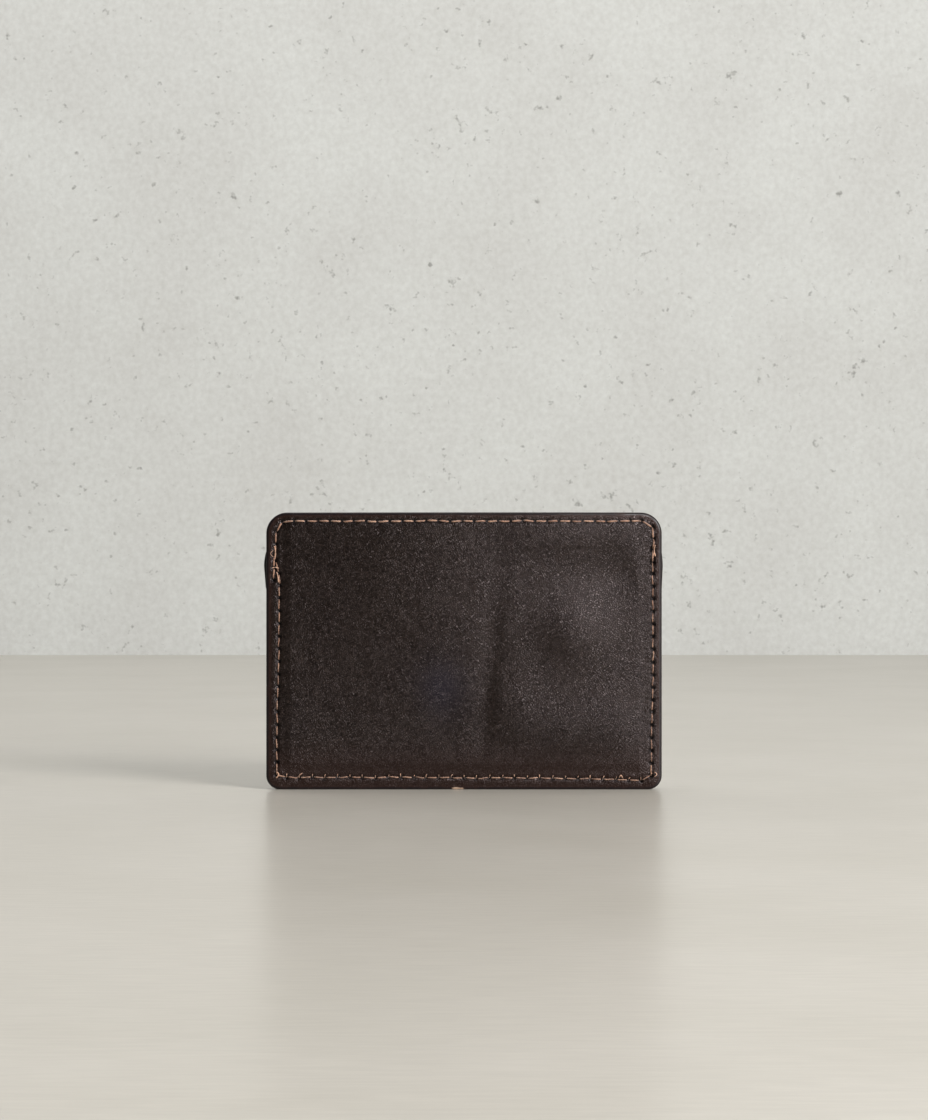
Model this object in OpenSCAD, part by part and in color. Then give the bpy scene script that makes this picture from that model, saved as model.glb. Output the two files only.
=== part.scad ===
// Slim leather card wallet: a plain front wall, a centre pocket that opens at the mouth,
// and two stepped card slots on the back. X is the width, Y the depth with the plain
// front towards -Y, and Z is up. The wallet stands on its long bottom edge at Z = 0.

/* [Outline] */
// Width across the painted side edges
wallet_w = 100; // [96:0.5:110]
// Height from the bottom edge to the mouth
wallet_h = 70; // [66:0.5:80]
// Corner radius at the mouth
mouth_corner_r = 5.3; // [4:0.1:8]
// Corner radius at the base
base_corner_r = 3.5; // [2.5:0.1:5]

/* [Leather and lining] */
// Thickness of the front leather
front_leather_t = 1.2; // [0.9:0.05:1.6]
// Thickness of the back leather
back_leather_t = 1; // [0.8:0.05:1.4]
// Thickness of the leather of the two card pockets
pocket_leather_t = 0.85; // [0.6:0.05:1.2]
// Thickness of the lining of the centre pocket
lining_t = 0.25; // [0.2:0.05:0.4]
// Thickness of the thin fabric inside the card pockets
slip_fabric_t = 0.2; // [0.15:0.05:0.3]
// Thickness of the stiffener board and of the mouth tapes
filler_t = 0.3; // [0.2:0.05:0.5]
// Thickness of the edge paint
paint_t = 0.25; // [0.15:0.05:0.4]

/* [Pockets] */
// How far the front wall bows out at the middle of the mouth
front_bow = 3.8; // [2.5:0.1:5]
// How far the back wall bows out at the middle of the mouth
back_bow = 2.2; // [1.5:0.1:3]
// Height of the upper card slot's mouth
upper_mouth_z = 62; // [58:0.5:64]
// Height of the lower card slot's mouth
lower_mouth_z = 50; // [46:0.5:54]
// Height of the stitched bottom of the upper card slot
upper_floor_z = 14.5; // [12:0.5:18]
// Free thickness of each card slot
slot_gap = 0.85; // [0.8:0.05:1.2]
// How far the pockets' top corners flare past the front's side edges
ear_flare = 0.75; // [0:0.05:1]

/* [Stitching] */
// Distance from the side edges to the stitch line
side_margin = 2.5; // [2:0.1:3.5]
// Distance from the mouth to the stitch line
mouth_margin = 2.2; // [2:0.1:3]
// Distance from the bottom edge to the stitch line
base_margin = 3; // [2.5:0.1:4]
// Distance from one needle hole to the next
stitch_pitch = 3.2; // [2.5:0.1:4]
// Length of the thread that shows between two needle holes
float_length = 2.5; // [2:0.1:3.5]
// How far the side seam stands inside the mouth seam where the two overlap
seam_shift = 0.75; // [0.6:0.05:1]
// Diameter of the thread
thread_d = 0.5; // [0.4:0.05:0.6]

/* [Hidden] */

glue = 0.03;                            // glue line left between two layers
seam_x = wallet_w / 2 - side_margin;    // side stitch line
seam_z = base_margin;                   // bottom stitch line
hem_z = wallet_h - mouth_margin;        // stitch line along the mouth
slot_run = 3.9;                         // width over which a pocket rises from its seam
base_run = 7;                           // height over which it rises from the bottom
t_width = 84;                           // width of the upper pocket below its ears
t_hem = 1.5;                            // upper pocket's lower edge to its slot's floor
t_thread_drop = 0.5;                    // slot's floor to the thread that closes it
facing_base_z = 43;                     // lower edge of the upper pocket's leather
shoulder_h = 0.8;                       // height of the sloping shoulder under an ear
hem_margin = 2.2;                       // slot mouth to its stitch line
tape_h = 5;                             // height of the mouth tapes
tape_top_gap = 0.4;                     // tape to the painted edge
board_tape_gap = 1;                     // stiffener board to the tape
filler_inset = 4;                       // side seam to the stiffener board
filler_run = 3;                         // width over which the filler's thickness fades in
flare_run = 17;                         // height over which the ears' flare fades out
side_top_z = wallet_h - mouth_corner_r; // where mouth paint and side paint meet
seam_corner_r = 3;                      // radius of the mouth seam at its corners
seam_arc = PI / 2 * seam_corner_r;      // length of the mouth seam round a corner
thread_off = thread_d / 2 + 0.05;       // thread's centre over the surface it lies on
tail_end_z = 53;                        // lower end of the mouth seam
drift_z = 30;                           // height at which the side seam starts to drift inwards
drift_run = 18;                         // height over which it drifts
hem_end_gap = 0.5;                      // side seam to the ends of the hems' thread rows
back_tail = 2;                          // how far the back's mouth seam passes its corners
seam_end_drop = 1;                      // upper slot's mouth to the top of the side seam
open_x = 36;                            // threads inside the pockets stay within this
columns = 24;                           // mesh columns across a sheet
row_step = 5;                           // height of a mesh row on a plain stretch
fine_row = 2.4;                         // height of a mesh row where the shape changes quickly
corner_step = 15;                       // degrees from point to point round a painted corner

// Stack thicknesses where everything is sewn flat together
front_stack = lining_t + 2 * glue + front_leather_t;
back_stack = lining_t + 2 * glue + back_leather_t;
pocket_stack = slip_fabric_t + 2 * glue + pocket_leather_t;
// Plane where the two linings meet, placed so that the sewn edge is centred on Y = 0
meet_y = (front_stack - back_stack - pocket_stack) / 2;
// Height of the lower pocket over the back panel where both slots are full
lower_lift = 2 * slot_gap + slip_fabric_t + pocket_leather_t + 2 * glue;

// Place of column c across a sheet, from -1 to 1, closer together towards the sides
function column_at(c) = let (t = 2 * c / columns - 1) 0.4 * t + 0.6 * sin(90 * t);

function unit(t) = max(0, min(1, t));
function ease(t) = let (u = unit(t)) u * u * (3 - 2 * u);

// Opening of the centre pocket: nothing at the side and bottom seams, 1 at the mouth's middle
function bow(x, z) = pow(max(0, 1 - pow(x / seam_x, 2)), 1.5)
    * sin(90 * unit((z - seam_z) / (wallet_h - seam_z)));

// Side-to-side rise of a pocket away from its side seams
function rise(x) = ease((seam_x - seam_shift - abs(x)) / slot_run);

// Where the front wall holds its stiffener board or mouth tape, 0 to 1
function front_fill(x, z) = ease((seam_x - filler_inset + filler_run - abs(x)) / filler_run)
    * ease((z - seam_z - filler_inset + filler_run) / filler_run);
// Where the back wall holds its mouth tape, 0 to 1
function back_fill(x, z) = ease((seam_x - filler_inset + filler_run - abs(x)) / filler_run)
    * ease((z - wallet_h + tape_h + tape_top_gap + 2 * filler_run) / filler_run);

// Depth from the linings' meeting plane: d is the distance into the front or back wall
function front_y(x, z, d) = meet_y - front_bow * bow(x, z) - d;
function back_y(x, z, d) = meet_y + back_bow * bow(x, z) + d;

function front_leather_in(x, z) = lining_t + 2 * glue + filler_t * front_fill(x, z);
function front_leather_out(x, z) = front_leather_in(x, z) + front_leather_t;
function back_leather_in(x, z) = lining_t + 2 * glue + filler_t * back_fill(x, z);
function back_leather_out(x, z) = back_leather_in(x, z) + back_leather_t;

// The upper pocket's fabric, then its leather, then the lower pocket over both
function upper_in(x, z) = back_leather_out(x, z) + glue
    + slot_gap * rise(x) * ease((z - upper_floor_z) / base_run);
function upper_mid(x, z) = upper_in(x, z) + slip_fabric_t;
function upper_out(x, z) = upper_mid(x, z) + glue + pocket_leather_t;
function lower_in(x, z) = back_leather_out(x, z) + glue
    + lower_lift * rise(x) * ease((z - seam_z) / base_run);
function lower_mid(x, z) = lower_in(x, z) + slip_fabric_t;
function lower_out(x, z) = lower_mid(x, z) + glue + pocket_leather_t;

// Half width of the rounded outline at height z, taken in by inset all round
function outline_x(z, inset) = let (
        x = wallet_w / 2 - inset,
        rt = mouth_corner_r - inset,
        rb = base_corner_r - inset,
        up = z - (wallet_h - inset - rt),
        down = inset + rb - z)
    up > 0 ? x - rt + sqrt(max(0, rt * rt - up * up)) :
    down > 0 ? x - rb + sqrt(max(0, rb * rb - down * down)) : x;

// How far the pockets' side edges stand out at height z
function flare(z) = ear_flare * ease((upper_mouth_z - z) / 2 + 0.5)
    * (1 - ease((upper_mouth_z - z) / flare_run));
function pocket_x(z, inset) = outline_x(z, inset) + flare(z);
// The upper pocket: ears at the top that reach the side seams, and a narrower body
function t_x(z) = let (s = unit((z - lower_mouth_z) / shoulder_h))
    t_width / 2 + s * (pocket_x(z, paint_t) - t_width / 2);

// Heights at which a sheet's rows are placed: arcs at rounded ends, even steps between
function arc_rows(r) = [for (a = [90:-18:1]) r * (1 - sin(a))];
function even_rows(z0, z1, step) = let (n = max(1, ceil((z1 - z0) / step)))
    [for (i = [0:n]) z0 + (z1 - z0) * i / n];
function base_rows(inset) = [for (h = arc_rows(base_corner_r - inset)) inset + h];
function mouth_rows(inset) = let (h = arc_rows(mouth_corner_r - inset))
    [for (i = [len(h) - 1:-1:0]) wallet_h - inset - h[i]];
function wall_rows(inset) = concat(base_rows(inset),
    even_rows(base_corner_r, wallet_h - mouth_corner_r, row_step), mouth_rows(inset));
// The same for the upper pocket from height z0, with its shoulders, and for the lower pocket
function t_rows(z0) = concat(even_rows(z0, lower_mouth_z, row_step),
    even_rows(lower_mouth_z + shoulder_h, upper_mouth_z - paint_t, fine_row));
function lower_rows(inset) = let (risen = seam_z + base_run)
    concat(base_rows(inset), even_rows(base_corner_r, risen, fine_row),
        even_rows(risen + fine_row, lower_mouth_z - inset, row_step));

// A sheet: rows of height z, half width half(z), between the surfaces near(x, z) and far(x, z)
module sheet(rows, half, near, far) {
    n = columns + 1;
    last = len(rows) - 1;
    skin = len(rows) * n;
    function at(r, c) = [half(rows[r]) * column_at(c), rows[r]];
    points = concat(
        [for (r = [0:last], c = [0:columns]) let (p = at(r, c)) [p.x, near(p.x, p.y), p.y]],
        [for (r = [0:last], c = [0:columns]) let (p = at(r, c)) [p.x, far(p.x, p.y), p.y]]);
    faces = concat(
        [for (r = [0:last - 1], c = [0:columns - 1], side = [0, 1], half_quad = [0, 1])
            let (a = r * n + c + side * skin, b = a + 1, d = a + n, e = d + 1)
            half_quad == 0 ? (side == 0 ? [a, d, b] : [a, b, d])
                           : (side == 0 ? [b, d, e] : [b, e, d])],
        [for (c = [0:columns - 1], half_quad = [0, 1]) let (a = c, b = c + 1)
            half_quad == 0 ? [a, b, a + skin] : [b, b + skin, a + skin]],
        [for (c = [0:columns - 1], half_quad = [0, 1]) let (a = last * n + c, b = a + 1)
            half_quad == 0 ? [a, a + skin, b] : [b, a + skin, b + skin]],
        [for (r = [0:last - 1], half_quad = [0, 1]) let (a = r * n, b = a + n)
            half_quad == 0 ? [a, a + skin, b] : [b, a + skin, b + skin]],
        [for (r = [0:last - 1], half_quad = [0, 1]) let (a = r * n + columns, b = a + n)
            half_quad == 0 ? [a, b, a + skin] : [b, b + skin, a + skin]]);
    polyhedron(points, faces);
}

// A strip of paint along path, a list of [inner point, outer point] pairs in X and Z
module paint_strip(path, near, far) {
    last = len(path) - 1;
    points = [for (pair = path) each [
        [pair[0].x, near(pair[0].x, pair[0].y), pair[0].y],
        [pair[1].x, near(pair[0].x, pair[0].y), pair[1].y],
        [pair[1].x, far(pair[0].x, pair[0].y), pair[1].y],
        [pair[0].x, far(pair[0].x, pair[0].y), pair[0].y]]];
    sides = [for (i = [0:last - 1], k = [0:3], half_quad = [0, 1])
        let (a = 4 * i + k, b = 4 * i + (k + 1) % 4)
        half_quad == 0 ? [a, a + 4, b] : [b, a + 4, b + 4]];
    ends = [[0, 1, 2], [0, 2, 3],
        [4 * last + 2, 4 * last + 1, 4 * last], [4 * last + 3, 4 * last + 2, 4 * last]];
    polyhedron(points, concat(sides, ends));
}

// Painted edge of the mouth from one side over both corners to the other
function mouth_path() = let (
        r = mouth_corner_r,
        x = wallet_w / 2 - r,
        z = wallet_h - r,
        corner = [for (a = [0:corner_step:90]) [cos(a), sin(a)]],
        last = len(corner) - 1,
        top = even_rows(-x, x, row_step))
    concat(
        [for (i = [0:last]) let (c = corner[i])
            [[-x - (r - paint_t) * c.x, z + (r - paint_t) * c.y], [-x - r * c.x, z + r * c.y]]],
        [for (i = [1:len(top) - 2]) [[top[i], wallet_h - paint_t], [top[i], wallet_h]]],
        [for (i = [last:-1:0]) let (c = corner[i])
            [[x + (r - paint_t) * c.x, z + (r - paint_t) * c.y], [x + r * c.x, z + r * c.y]]]);

// Painted edge of a slot mouth that runs straight across at height z and down both sides to z0
function slot_path(z, z0) = let (
        side = even_rows(z0, z - paint_t, fine_row),
        n = len(side) - 1,
        x = pocket_x(z - paint_t, paint_t),
        across = even_rows(-x, x, row_step))
    concat(
        [for (i = [0:n - 1]) [[-pocket_x(side[i], paint_t), side[i]], [-pocket_x(side[i], 0), side[i]]]],
        [[[-x, z - paint_t], [-x - paint_t, z]]],
        [for (i = [1:len(across) - 2]) [[across[i], z - paint_t], [across[i], z]]],
        [[[x, z - paint_t], [x + paint_t, z]]],
        [for (i = [n - 1:-1:0]) [[pocket_x(side[i], paint_t), side[i]], [pocket_x(side[i], 0), side[i]]]]);

// Painted right edge of the lower pocket, from the base corner up to its mouth
function pocket_side_path() = let (
        r = base_corner_r,
        c0 = wallet_w / 2 - r,
        side = even_rows(r, lower_mouth_z, row_step))
    concat(
        [for (a = [0:corner_step:90 - corner_step]) [[c0 + (r - paint_t) * sin(a), r - (r - paint_t) * cos(a)],
            [c0 + r * sin(a), r - r * cos(a)]]],
        [for (z = side) [[pocket_x(z, paint_t), z], [pocket_x(z, 0), z]]]);

// Flat outline of the coat on the right edge of the two sewn walls
module side_coat_outline() {
    r = base_corner_r;
    c0 = wallet_w / 2 - r;
    translate([wallet_w / 2 - paint_t, r]) square([paint_t, side_top_z - r]);
    intersection() {
        translate([c0, r]) difference() {
            circle(r, $fn = 96);
            circle(r - paint_t, $fn = 96);
        }
        translate([c0, 0]) square(r);
    }
}

// A point on a seam that runs along the mouth and down both sides, at length s from its middle
function mouth_seam_point(s) = let (
        straight = seam_x - seam_corner_r,
        t = abs(s) - straight,
        a = min(90, max(0, t) / seam_arc * 90),
        p = t < 0 ? [abs(s), hem_z]
            : [straight + seam_corner_r * sin(a), hem_z - seam_corner_r * (1 - cos(a)) - max(0, t - seam_arc)])
    [s < 0 ? -p.x : p.x, p.y];
// The side seam's line at height z, drifting inwards to pass beside the mouth seam's end
function side_seam_x(z) = seam_x - seam_shift * ease((z - drift_z) / drift_run);
// A point on the seam along the bottom and up both sides, at length s from its middle
function base_seam_point(s) = let (t = abs(s) - seam_x, z = seam_z + max(0, t))
    [(s < 0 ? -1 : 1) * (t < 0 ? abs(s) : side_seam_x(z)), z];

// Needle holes along a seam of length 2 * reach, centred on s = 0
function holes(reach) = let (n = floor(2 * reach / stitch_pitch))
    [for (i = [0:n]) (i - n / 2) * stitch_pitch];

module thread_between(p, q) {
    v = q - p;
    translate(p) rotate([0, acos(v.z / norm(v)), atan2(v.y, v.x)])
        cylinder(h = norm(v), d = thread_d, $fn = 24);
}

// Floats of thread on a surface y(x, z); along(s) gives the seam's point at length s
module floats(reach, along, y) {
    at = holes(reach);
    trim = (1 - float_length / stitch_pitch) / 2;
    for (i = [0:len(at) - 2]) {
        p = along(at[i] + trim * stitch_pitch);
        q = along(at[i + 1] - trim * stitch_pitch);
        thread_between([p.x, y(p.x, p.y), p.y], [q.x, y(q.x, q.y), q.y]);
    }
}

// Half lengths of the seams
mouth_reach = seam_x - seam_corner_r + seam_arc + hem_z - seam_corner_r - tail_end_z;
base_reach = seam_x + upper_mouth_z - seam_end_drop - seam_z;
hem_reach = seam_x - seam_shift - hem_end_gap;

module front_panel() {
    color("#2e2824") sheet(wall_rows(paint_t), function(z) outline_x(z, paint_t),
        function(x, z) front_y(x, z, front_leather_out(x, z)),
        function(x, z) front_y(x, z, front_leather_in(x, z)));
}

module front_stiffener() {
    reach = seam_x - filler_inset;
    top = wallet_h - paint_t - tape_top_gap - tape_h - board_tape_gap;
    color("#8c7a62") sheet(even_rows(seam_z + filler_inset, top, row_step), function(z) reach,
        function(x, z) front_y(x, z, lining_t + glue + filler_t * front_fill(x, z)),
        function(x, z) front_y(x, z, lining_t + glue));
}

module front_mouth_tape() {
    reach = seam_x - filler_inset;
    top = wallet_h - paint_t - tape_top_gap;
    color("#d8d2c6") sheet(even_rows(top - tape_h, top, tape_h / 2), function(z) reach,
        function(x, z) front_y(x, z, lining_t + glue + filler_t * front_fill(x, z)),
        function(x, z) front_y(x, z, lining_t + glue));
}

module front_lining() {
    color("#3a322c") sheet(wall_rows(paint_t), function(z) outline_x(z, paint_t),
        function(x, z) front_y(x, z, lining_t), function(x, z) front_y(x, z, glue / 2));
}

module front_mouth_edge_paint() {
    color("#3b2b2b") paint_strip(mouth_path(),
        function(x, z) front_y(x, z, front_leather_out(x, z)),
        function(x, z) front_y(x, z, glue / 2));
}

module back_lining() {
    color("#3a322c") sheet(wall_rows(paint_t), function(z) outline_x(z, paint_t),
        function(x, z) back_y(x, z, glue / 2), function(x, z) back_y(x, z, lining_t));
}

module back_mouth_tape() {
    reach = seam_x - filler_inset;
    top = wallet_h - paint_t - tape_top_gap;
    color("#d8d2c6") sheet(even_rows(top - tape_h, top, tape_h / 2), function(z) reach,
        function(x, z) back_y(x, z, lining_t + glue),
        function(x, z) back_y(x, z, lining_t + glue + filler_t * back_fill(x, z)));
}

module back_panel() {
    color("#2e2824") sheet(wall_rows(paint_t), function(z) outline_x(z, paint_t),
        function(x, z) back_y(x, z, back_leather_in(x, z)),
        function(x, z) back_y(x, z, back_leather_out(x, z)));
}

module back_mouth_edge_paint() {
    color("#3b2b2b") paint_strip(mouth_path(), function(x, z) back_y(x, z, glue / 2),
        function(x, z) back_y(x, z, back_leather_out(x, z)));
}

module upper_pocket_facing() {
    color("#2e2824") sheet(t_rows(facing_base_z), function(z) t_x(z),
        function(x, z) back_y(x, z, upper_mid(x, z) + glue),
        function(x, z) back_y(x, z, upper_out(x, z)));
}

module upper_pocket_body() {
    color("#2b2624") sheet(t_rows(upper_floor_z - t_hem), function(z) t_x(z),
        function(x, z) back_y(x, z, upper_in(x, z)),
        function(x, z) back_y(x, z, upper_mid(x, z)));
}

module upper_pocket_edge_paint() {
    color("#3b2b2b") paint_strip(slot_path(upper_mouth_z, lower_mouth_z + shoulder_h),
        function(x, z) back_y(x, z, upper_in(x, z)),
        function(x, z) back_y(x, z, upper_out(x, z)));
}

module lower_pocket_panel() {
    color("#2e2824") sheet(lower_rows(paint_t), function(z) pocket_x(z, paint_t),
        function(x, z) back_y(x, z, lower_mid(x, z) + glue),
        function(x, z) back_y(x, z, lower_out(x, z)));
}

module lower_pocket_lining() {
    color("#2b2624") sheet(lower_rows(paint_t), function(z) pocket_x(z, paint_t),
        function(x, z) back_y(x, z, lower_in(x, z)),
        function(x, z) back_y(x, z, lower_mid(x, z)));
}

module lower_pocket_edge_paint() {
    x = pocket_x(lower_mouth_z - paint_t, paint_t);
    across = even_rows(-x, x, row_step);
    color("#3b2b2b") paint_strip(
        [for (u = across) [[u, lower_mouth_z - paint_t], [u, lower_mouth_z]]],
        function(x, z) back_y(x, z, lower_in(x, z)),
        function(x, z) back_y(x, z, lower_out(x, z)));
}

// The bottom and the sides are painted after sewing, over every layer
module base_edge_paint() {
    half = wallet_w / 2 - base_corner_r;
    depth = front_stack + back_stack + pocket_stack + glue;
    color("#3b2b2b") translate([-half, meet_y - front_stack, 0]) cube([2 * half, depth, paint_t]);
}

module side_edge_paint() {
    color("#3b2b2b") {
        translate([0, meet_y + back_stack, 0]) rotate([90, 0, 0])
            linear_extrude(front_stack + back_stack) side_coat_outline();
        paint_strip(pocket_side_path(), function(x, z) back_y(x, z, lower_in(x, z)),
            function(x, z) back_y(x, z, lower_out(x, z)));
    }
}

module right_edge_paint() {
    side_edge_paint();
}

module left_edge_paint() {
    mirror([1, 0, 0]) side_edge_paint();
}

module mouth_seam_needle_thread() {
    color("#a8785c") floats(mouth_reach, function(s) mouth_seam_point(s),
        function(x, z) front_y(x, z, front_leather_out(x, z) + thread_off));
}

module mouth_seam_bobbin_thread() {
    color("#a8785c") floats(open_x, function(s) [s, hem_z],
        function(x, z) front_y(x, z, -thread_off));
}

module back_mouth_seam_needle_thread() {
    color("#a8785c") floats(seam_x + back_tail, function(s) mouth_seam_point(s),
        function(x, z) back_y(x, z, back_leather_out(x, z) + thread_off));
}

module back_mouth_seam_bobbin_thread() {
    color("#a8785c") floats(open_x, function(s) [s, hem_z],
        function(x, z) back_y(x, z, -thread_off));
}

module upper_slot_hem_needle_thread() {
    color("#a8785c") floats(hem_reach, function(s) [s, upper_mouth_z - hem_margin],
        function(x, z) back_y(x, z, upper_out(x, z) + thread_off));
}

module upper_slot_hem_bobbin_thread() {
    color("#a8785c") floats(open_x, function(s) [s, upper_mouth_z - hem_margin],
        function(x, z) back_y(x, z, upper_in(x, z) - thread_off));
}

module lower_slot_hem_needle_thread() {
    color("#a8785c") floats(hem_reach, function(s) [s, lower_mouth_z - hem_margin],
        function(x, z) back_y(x, z, lower_out(x, z) + thread_off));
}

module lower_slot_hem_bobbin_thread() {
    color("#a8785c") floats(open_x, function(s) [s, lower_mouth_z - hem_margin],
        function(x, z) back_y(x, z, lower_in(x, z) - thread_off));
}

module upper_pocket_base_thread() {
    color("#4a3f38") floats(t_width / 2 - 2 * t_hem, function(s) [s, upper_floor_z - t_thread_drop],
        function(x, z) back_y(x, z, upper_mid(x, z) + thread_off));
}

module side_seam_needle_thread() {
    color("#a8785c") floats(base_reach, function(s) base_seam_point(s),
        function(x, z) front_y(x, z, front_leather_out(x, z) + thread_off));
}

module side_seam_bobbin_thread() {
    color("#a8785c") floats(base_reach, function(s) base_seam_point(s),
        function(x, z) back_y(x, z, (z > lower_mouth_z ? upper_out(x, z) : lower_out(x, z)) + thread_off));
}

front_panel();
front_stiffener();
front_mouth_tape();
front_lining();
front_mouth_edge_paint();
back_lining();
back_mouth_tape();
back_panel();
back_mouth_edge_paint();
upper_pocket_facing();
upper_pocket_body();
upper_pocket_edge_paint();
lower_pocket_panel();
lower_pocket_lining();
lower_pocket_edge_paint();
base_edge_paint();
left_edge_paint();
right_edge_paint();
mouth_seam_needle_thread();
mouth_seam_bobbin_thread();
back_mouth_seam_needle_thread();
back_mouth_seam_bobbin_thread();
upper_slot_hem_needle_thread();
upper_slot_hem_bobbin_thread();
lower_slot_hem_needle_thread();
lower_slot_hem_bobbin_thread();
upper_pocket_base_thread();
side_seam_needle_thread();
side_seam_bobbin_thread();
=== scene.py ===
"""A slim leather card wallet, standing on its long edge with its plain front to the camera.

Lengths are in millimetres until a mesh is built. X is the width, the plain front faces -Y, and Z is up.
"""

import math

import bpy
import numpy as np
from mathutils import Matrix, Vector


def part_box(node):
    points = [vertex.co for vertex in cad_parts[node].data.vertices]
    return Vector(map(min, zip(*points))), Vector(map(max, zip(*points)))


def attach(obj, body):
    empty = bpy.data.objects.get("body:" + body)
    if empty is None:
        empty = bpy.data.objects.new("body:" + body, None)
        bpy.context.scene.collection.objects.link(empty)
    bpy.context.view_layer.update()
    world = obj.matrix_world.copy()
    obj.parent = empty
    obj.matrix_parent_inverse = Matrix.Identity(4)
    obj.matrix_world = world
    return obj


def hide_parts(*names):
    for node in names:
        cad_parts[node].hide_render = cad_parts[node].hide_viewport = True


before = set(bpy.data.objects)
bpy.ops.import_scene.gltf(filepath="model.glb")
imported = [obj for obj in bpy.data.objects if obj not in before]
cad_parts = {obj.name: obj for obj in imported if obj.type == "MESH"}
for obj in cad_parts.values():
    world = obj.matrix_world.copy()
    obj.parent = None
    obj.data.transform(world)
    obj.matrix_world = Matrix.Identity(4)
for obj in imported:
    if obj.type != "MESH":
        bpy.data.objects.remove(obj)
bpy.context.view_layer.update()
MM = 0.001


# ---- Camera ------------------------------------------------------------------------------------
# A level camera straight in front of the plain side, with its lens a little below the wallet's
# mouth. The wallet stands in the lower half of a tall picture, under a lot of empty wall.

EYE_HEIGHT = 0.058
CAMERA_DISTANCE = 0.8
PICTURE_HEIGHT = 0.2836  # what the picture takes in, top to bottom, where the wallet stands

camera_data = bpy.data.cameras.new("camera")
camera_data.lens = camera_data.sensor_width * CAMERA_DISTANCE / PICTURE_HEIGHT
camera = bpy.data.objects.new("camera", camera_data)
camera.location = (0, -CAMERA_DISTANCE, EYE_HEIGHT)
camera.rotation_euler = (math.radians(90), 0, 0)
bpy.context.scene.collection.objects.link(camera)
bpy.context.scene.camera = camera


# ---- Floor, wall and light ---------------------------------------------------------------------
# A pale honed stone floor that mirrors softly, and a pale plaster wall a metre behind. One large
# soft light stands in front, to the right and above; weaker ones hang overhead, behind and by the wall.


def linear(hex_colour):
    """An sRGB hex colour as linear red, green and blue, with full alpha."""
    parts = [int(hex_colour[i : i + 2], 16) / 255 for i in (1, 3, 5)]
    return (*[p / 12.92 if p <= 0.04045 else ((p + 0.055) / 1.055) ** 2.4 for p in parts], 1.0)


def shader_node(tree, kind, inputs=None, **settings):
    """Adds a shader node. Each input is a value, or another node's output to link."""
    made = tree.nodes.new(kind)
    for key, value in settings.items():
        setattr(made, key, value)
    for key, value in (inputs or {}).items():
        if isinstance(value, bpy.types.NodeSocket):
            tree.links.new(value, made.inputs[key])
        else:
            made.inputs[key].default_value = value
    return made


def new_material(name, **shader_values):
    """A material, its node tree and its shader, with constant values set on the shader itself."""
    material = bpy.data.materials.new(name)
    material.use_nodes = True
    shader = material.node_tree.nodes["Principled BSDF"]
    for key, value in shader_values.items():
        shader.inputs[key.replace("_", " ")].default_value = value
    return material, material.node_tree, shader


def object_place(tree):
    """A point's own place on its piece, in metres."""
    return shader_node(tree, "ShaderNodeTexCoord").outputs["Object"]


def mixed(tree, factor, first, second):
    """The colour socket of first turning to second as factor goes from 0 to 1."""
    inputs = {0: factor, 6: first, 7: second}
    return shader_node(tree, "ShaderNodeMix", inputs, data_type="RGBA").outputs[2]


def noise(tree, place, size_mm, detail=2.0, roughness=0.5):
    """Cloudy noise whose blobs are about size_mm across."""
    inputs = {"Vector": place, "Scale": 1 / (size_mm * MM), "Detail": detail, "Roughness": roughness}
    return shader_node(tree, "ShaderNodeTexNoise", inputs).outputs[0]


def ramp(tree, value, low, high, to_low=0.0, to_high=1.0):
    """value moved from low..high to to_low..to_high and held there."""
    inputs = {0: value, 1: low, 2: high, 3: to_low, 4: to_high}
    return shader_node(tree, "ShaderNodeMapRange", inputs).outputs[0]


def backdrop(name, corners, colour, clouded, roughness, specks, stretch):
    """A flat plane with four corners in metres, in a slightly clouded honed or matt finish. Specks is
    how strong its scattered dark pits are, and stretch scales its fine grain along each axis."""
    mesh = bpy.data.meshes.new(name)
    mesh.from_pydata(corners, [], [(0, 1, 2, 3)])
    plane = bpy.data.objects.new(name, mesh)
    bpy.context.scene.collection.objects.link(plane)
    material, tree, shader = new_material(name, Roughness=roughness, Specular_IOR_Level=0.3)
    place = object_place(tree)
    cloud = ramp(tree, noise(tree, place, 70, 5.0), 0.35, 0.7)
    tint = mixed(tree, cloud, linear(colour), linear(clouded))
    drawn = shader_node(tree, "ShaderNodeVectorMath", {0: place, 1: stretch}, operation="MULTIPLY")
    grain = ramp(tree, noise(tree, drawn.outputs[0], 1.6, 5.0, 0.6), 0.3, 0.72, 0.0, 0.22)
    grained = mixed(tree, grain, tint, linear("#8f8b82"))
    pit = ramp(tree, noise(tree, place, 5.5, 2.0, 0.6), 0.66, 0.78, 0.0, specks)
    tree.links.new(mixed(tree, pit, grained, linear("#6f6f6a")), shader.inputs["Base Color"])
    mesh.materials.append(material)


ROOM = 4.0
WALL_Y = 1.13
backdrop(
    "floor",
    [(-ROOM, -ROOM, 0), (ROOM, -ROOM, 0), (ROOM, WALL_Y, 0), (-ROOM, WALL_Y, 0)],
    colour="#c9c4ba",
    clouded="#c2bdb2",
    roughness=0.28,
    specks=0.0,
    stretch=(0.16, 1.0, 1.0),
)
backdrop(
    "wall",
    [(-ROOM, WALL_Y, 0), (ROOM, WALL_Y, 0), (ROOM, WALL_Y, ROOM), (-ROOM, WALL_Y, ROOM)],
    colour="#dadcd9",
    clouded="#d4d5d2",
    roughness=0.9,
    specks=0.6,
    stretch=(0.5, 1.0, 0.5),
)


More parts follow.
